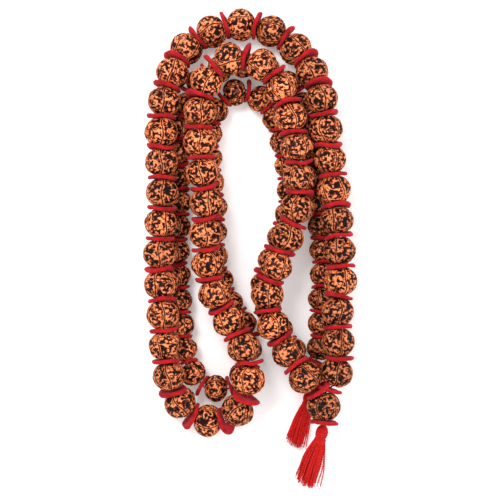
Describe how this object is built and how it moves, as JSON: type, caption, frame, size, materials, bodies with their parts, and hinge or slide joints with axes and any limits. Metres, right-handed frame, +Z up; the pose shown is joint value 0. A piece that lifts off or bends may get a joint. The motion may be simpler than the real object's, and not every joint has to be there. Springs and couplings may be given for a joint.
{
  "type": "mala prayer beads",
  "caption": "Mala of rudraksha seed beads strung on red thread, with felt discs between the beads and a red tassel below each guru bead, lying in a long double loop.",
  "frame": {"origin": "centre of the bounding box, on the surface that the mala lies on", "axes": "+Z up off the surface, +Y along the length of the loop away from the tassels, +X to the right seen from above"},
  "size_m": [0.1665, 0.3783, 0.0477],
  "materials": {
    "rudraksha": "oiled seed, deep dark furrows between orange-tan ridges",
    "guru_bead": "oiled seed, darker, deep furrows",
    "felt": "crimson wool felt, fuzzy edge",
    "thread": "dark red twisted thread",
    "tassel_yarn": "scarlet plied yarn, frayed ends"
  },
  "bodies": {
    "root": {"small_thread": "thread", "small_discs": "felt", "small_guru_disc": "felt", "small_beads_01_to_09": "rudraksha", "small_beads_10_to_18": "rudraksha", "small_beads_19_to_27": "rudraksha", "small_beads_28_to_36": "rudraksha", "small_beads_37_to_45": "rudraksha", "small_beads_46_to_54": "rudraksha"},
    "large_strand": {"large_thread": "thread", "large_discs": "felt", "large_guru_disc": "felt", "large_beads_37_to_45": "rudraksha", "large_beads_46_to_54": "rudraksha"},
    "large_guru_bead": {"large_guru_bead": "guru_bead"},
    "small_guru_bead": {"small_guru_bead": "guru_bead"},
    "large_tassel_knot": {"large_tassel_knot": "tassel_yarn"},
    "large_tassel": {"large_tassel_head": "tassel_yarn", "large_tassel_binding": "tassel_yarn", "large_tassel_skirt": "tassel_yarn"},
    "small_tassel_knot": {"small_tassel_knot": "tassel_yarn"},
    "small_tassel": {"small_tassel_head": "tassel_yarn", "small_tassel_binding": "tassel_yarn", "small_tassel_skirt": "tassel_yarn"},
    "large_bead_01": {"large_bead_01": "rudraksha"},
    "large_bead_02": {"large_bead_02": "rudraksha"},
    "large_bead_03": {"large_bead_03": "rudraksha"},
    "large_bead_04": {"large_bead_04": "rudraksha"},
    "large_bead_05": {"large_bead_05": "rudraksha"},
    "large_bead_06": {"large_bead_06": "rudraksha"},
    "large_bead_07": {"large_bead_07": "rudraksha"},
    "large_bead_08": {"large_bead_08": "rudraksha"},
    "large_bead_09": {"large_bead_09": "rudraksha"},
    "large_bead_10": {"large_bead_10": "rudraksha"},
    "large_bead_11": {"large_bead_11": "rudraksha"},
    "large_bead_12": {"large_bead_12": "rudraksha"},
    "large_bead_13": {"large_bead_13": "rudraksha"},
    "large_bead_14": {"large_bead_14": "rudraksha"},
    "large_bead_15": {"large_bead_15": "rudraksha"},
    "large_bead_16": {"large_bead_16": "rudraksha"},
    "large_bead_17": {"large_bead_17": "rudraksha"},
    "large_bead_18": {"large_bead_18": "rudraksha"},
    "large_bead_19": {"large_bead_19": "rudraksha"},
    "large_bead_20": {"large_bead_20": "rudraksha"},
    "large_bead_21": {"large_bead_21": "rudraksha"},
    "large_bead_22": {"large_bead_22": "rudraksha"},
    "large_bead_23": {"large_bead_23": "rudraksha"},
    "large_bead_24": {"large_bead_24": "rudraksha"},
    "large_bead_25": {"large_bead_25": "rudraksha"},
    "large_bead_26": {"large_bead_26": "rudraksha"},
    "large_bead_27": {"large_bead_27": "rudraksha"},
    "large_bead_28": {"large_bead_28": "rudraksha"},
    "large_bead_29": {"large_bead_29": "rudraksha"},
    "large_bead_30": {"large_bead_30": "rudraksha"},
    "large_bead_31": {"large_bead_31": "rudraksha"},
    "large_bead_32": {"large_bead_32": "rudraksha"},
    "large_bead_33": {"large_bead_33": "rudraksha"},
    "large_bead_34": {"large_bead_34": "rudraksha"},
    "large_bead_35": {"large_bead_35": "rudraksha"},
    "large_bead_36": {"large_bead_36": "rudraksha"}
  },
  "joints": [
    {"name": "large_strand_lift", "type": "slide", "parent": "root", "child": "large_strand", "axis": [0, 0, 1], "range_m": [0, 0.08]},
    {"name": "large_tassel_sway", "type": "hinge", "parent": "large_strand", "child": "large_tassel_knot", "pos_m": [0.0575, -0.13953, 0.027], "axis": [0, 0, 1], "range_deg": [0, 40]},
    {"name": "large_tassel_raise", "type": "hinge", "parent": "large_tassel_knot", "child": "large_tassel", "pos_m": [0.0575, -0.13953, 0.027], "axis": [-0.9703, 0.2419, 0], "range_deg": [0, 55]},
    {"name": "small_tassel_sway", "type": "hinge", "parent": "root", "child": "small_tassel_knot", "pos_m": [0.04715, -0.11342, 0.00902], "axis": [0, 0, 1], "range_deg": [-35, 0]},
    {"name": "small_tassel_raise", "type": "hinge", "parent": "small_tassel_knot", "child": "small_tassel", "pos_m": [0.04715, -0.11342, 0.00902], "axis": [-0.9703, 0.2419, 0], "range_deg": [0, 15]},
    {"name": "turn_large_guru_bead", "type": "hinge", "parent": "large_strand", "child": "large_guru_bead", "pos_m": [0.058, -0.12287, 0.029], "axis": [0, 1, 0], "continuous": true},
    {"name": "turn_small_guru_bead", "type": "hinge", "parent": "root", "child": "small_guru_bead", "pos_m": [0.04756, -0.09975, 0.01066], "axis": [0, 1, 0], "continuous": true},
    {"name": "turn_bead_01", "type": "hinge", "parent": "large_strand", "child": "large_bead_01", "pos_m": [0.06788, -0.09639, 0.02798], "axis": [0.2693, 0.9618, 0.0481], "continuous": true},
    {"name": "turn_bead_02", "type": "hinge", "parent": "large_strand", "child": "large_bead_02", "pos_m": [0.06899, -0.07276, 0.03096], "axis": [0.0222, 0.9988, 0.0429], "continuous": true},
    {"name": "turn_bead_03", "type": "hinge", "parent": "large_strand", "child": "large_bead_03", "pos_m": [0.06894, -0.04893, 0.03002], "axis": [0.0396, 0.9992, -0.0011], "continuous": true},
    {"name": "turn_bead_04", "type": "hinge", "parent": "large_strand", "child": "large_bead_04", "pos_m": [0.07088, -0.02517, 0.03091], "axis": [0.0285, 0.9994, 0.0207], "continuous": true},
    {"name": "turn_bead_05", "type": "hinge", "parent": "large_strand", "child": "large_bead_05", "pos_m": [0.0703, -0.00133, 0.03101], "axis": [-0.0525, 0.9986, 0.0034], "continuous": true},
    {"name": "turn_bead_06", "type": "hinge", "parent": "large_strand", "child": "large_bead_06", "pos_m": [0.06837, 0.02244, 0.03107], "axis": [-0.0939, 0.9956, -0.0058], "continuous": true},
    {"name": "turn_bead_07", "type": "hinge", "parent": "large_strand", "child": "large_bead_07", "pos_m": [0.06582, 0.04616, 0.03073], "axis": [-0.1174, 0.9928, -0.023], "continuous": true},
    {"name": "turn_bead_08", "type": "hinge", "parent": "large_strand", "child": "large_bead_08", "pos_m": [0.06277, 0.0698, 0.02997], "axis": [-0.1285, 0.9916, -0.0161], "continuous": true},
    {"name": "turn_bead_09", "type": "hinge", "parent": "large_strand", "child": "large_bead_09", "pos_m": [0.05969, 0.09345, 0.02997], "axis": [-0.1388, 0.9895, -0.0396], "continuous": true},
    {"name": "turn_bead_10", "type": "hinge", "parent": "large_strand", "child": "large_bead_10", "pos_m": [0.05616, 0.11696, 0.02809], "axis": [-0.2264, 0.952, -0.2058], "continuous": true},
    {"name": "turn_bead_11", "type": "hinge", "parent": "large_strand", "child": "large_bead_11", "pos_m": [0.04902, 0.13833, 0.02027], "axis": [-0.4253, 0.85, -0.3107], "continuous": true},
    {"name": "turn_bead_12", "type": "hinge", "parent": "large_strand", "child": "large_bead_12", "pos_m": [0.03605, 0.15714, 0.0134], "axis": [-0.6936, 0.7031, -0.1569], "continuous": true},
    {"name": "turn_bead_13", "type": "hinge", "parent": "large_strand", "child": "large_bead_13", "pos_m": [0.01671, 0.17108, 0.01296], "axis": [-0.9146, 0.4042, -0.0086], "continuous": true},
    {"name": "turn_bead_14", "type": "hinge", "parent": "large_strand", "child": "large_bead_14", "pos_m": [-0.00663, 0.176, 0.013], "axis": [-1, -0.0094, 0.0012], "continuous": true},
    {"name": "turn_bead_15", "type": "hinge", "parent": "large_strand", "child": "large_bead_15", "pos_m": [-0.02987, 0.17064, 0.01302], "axis": [-0.9166, -0.3989, 0.0258], "continuous": true},
    {"name": "turn_bead_16", "type": "hinge", "parent": "large_strand", "child": "large_bead_16", "pos_m": [-0.0496, 0.1573, 0.01421], "axis": [-0.6587, -0.7252, 0.2005], "continuous": true},
    {"name": "turn_bead_17", "type": "hinge", "parent": "large_strand", "child": "large_bead_17", "pos_m": [-0.06005, 0.13741, 0.0222], "axis": [-0.3557, -0.8914, 0.281], "continuous": true},
    {"name": "turn_bead_18", "type": "hinge", "parent": "large_strand", "child": "large_bead_18", "pos_m": [-0.06646, 0.11506, 0.02752], "axis": [-0.1872, -0.969, 0.1611], "continuous": true},
    {"name": "turn_bead_19", "type": "hinge", "parent": "large_strand", "child": "large_bead_19", "pos_m": [-0.06893, 0.09145, 0.02985], "axis": [-0.0436, -0.9969, 0.0648], "continuous": true},
    {"name": "turn_bead_20", "type": "hinge", "parent": "large_strand", "child": "large_bead_20", "pos_m": [-0.06853, 0.06762, 0.03061], "axis": [0.0197, -0.9995, 0.024], "continuous": true},
    {"name": "turn_bead_21", "type": "hinge", "parent": "large_strand", "child": "large_bead_21", "pos_m": [-0.06799, 0.04378, 0.03099], "axis": [-0.0119, -0.9999, 0.0108], "continuous": true},
    {"name": "turn_bead_22", "type": "hinge", "parent": "large_strand", "child": "large_bead_22", "pos_m": [-0.0691, 0.01995, 0.03112], "axis": [-0.0419, -0.9991, -0.0003], "continuous": true},
    {"name": "turn_bead_23", "type": "hinge", "parent": "large_strand", "child": "large_bead_23", "pos_m": [-0.06999, -0.00388, 0.03098], "axis": [-0.0016, -0.9999, -0.0146], "continuous": true},
    {"name": "turn_bead_24", "type": "hinge", "parent": "large_strand", "child": "large_bead_24", "pos_m": [-0.06917, -0.02771, 0.03043], "axis": [0.0477, -0.9986, -0.0208], "continuous": true},
    {"name": "turn_bead_25", "type": "hinge", "parent": "large_strand", "child": "large_bead_25", "pos_m": [-0.06772, -0.05151, 0.02999], "axis": [0.0689, -0.9976, -0.0022], "continuous": true},
    {"name": "turn_bead_26", "type": "hinge", "parent": "large_strand", "child": "large_bead_26", "pos_m": [-0.06588, -0.07529, 0.03032], "axis": [0.1059, -0.9932, -0.0484], "continuous": true},
    {"name": "turn_bead_27", "type": "hinge", "parent": "large_strand", "child": "large_bead_27", "pos_m": [-0.06268, -0.09878, 0.02768], "axis": [0.2417, -0.9397, -0.242], "continuous": true},
    {"name": "turn_bead_28", "type": "hinge", "parent": "large_strand", "child": "large_bead_28", "pos_m": [-0.05429, -0.12038, 0.01871], "axis": [0.6135, -0.7318, -0.2967], "continuous": true},
    {"name": "turn_bead_29", "type": "hinge", "parent": "large_strand", "child": "large_bead_29", "pos_m": [-0.03241, -0.13488, 0.01304], "axis": [0.9806, -0.1233, 0.1527], "continuous": true},
    {"name": "turn_bead_30", "type": "hinge", "parent": "large_strand", "child": "large_bead_30", "pos_m": [-0.00925, -0.12604, 0.02573], "axis": [0.6263, 0.6542, 0.424], "continuous": true},
    {"name": "turn_bead_31", "type": "hinge", "parent": "large_strand", "child": "large_bead_31", "pos_m": [-0.00094, -0.10201, 0.03435], "axis": [0.0947, 0.9821, 0.1627], "continuous": true},
    {"name": "turn_bead_32", "type": "hinge", "parent": "large_strand", "child": "large_bead_32", "pos_m": [-0.00451, -0.07691, 0.03386], "axis": [-0.3188, 0.9473, -0.0313], "continuous": true},
    {"name": "turn_bead_33", "type": "hinge", "parent": "large_strand", "child": "large_bead_33", "pos_m": [-0.01635, -0.05623, 0.03283], "axis": [-0.4777, 0.8785, -0.0073], "continuous": true},
    {"name": "turn_bead_34", "type": "hinge", "parent": "large_strand", "child": "large_bead_34", "pos_m": [-0.02728, -0.03505, 0.03351], "axis": [-0.3484, 0.937, 0.0262], "continuous": true},
    {"name": "turn_bead_35", "type": "hinge", "parent": "large_strand", "child": "large_bead_35", "pos_m": [-0.03285, -0.01186, 0.03407], "axis": [-0.1438, 0.9896, 0.0108], "continuous": true},
    {"name": "turn_bead_36", "type": "hinge", "parent": "large_strand", "child": "large_bead_36", "pos_m": [-0.03411, 0.01196, 0.03403], "axis": [-0.0221, 0.9998, -0.0009], "continuous": true}
  ]
}
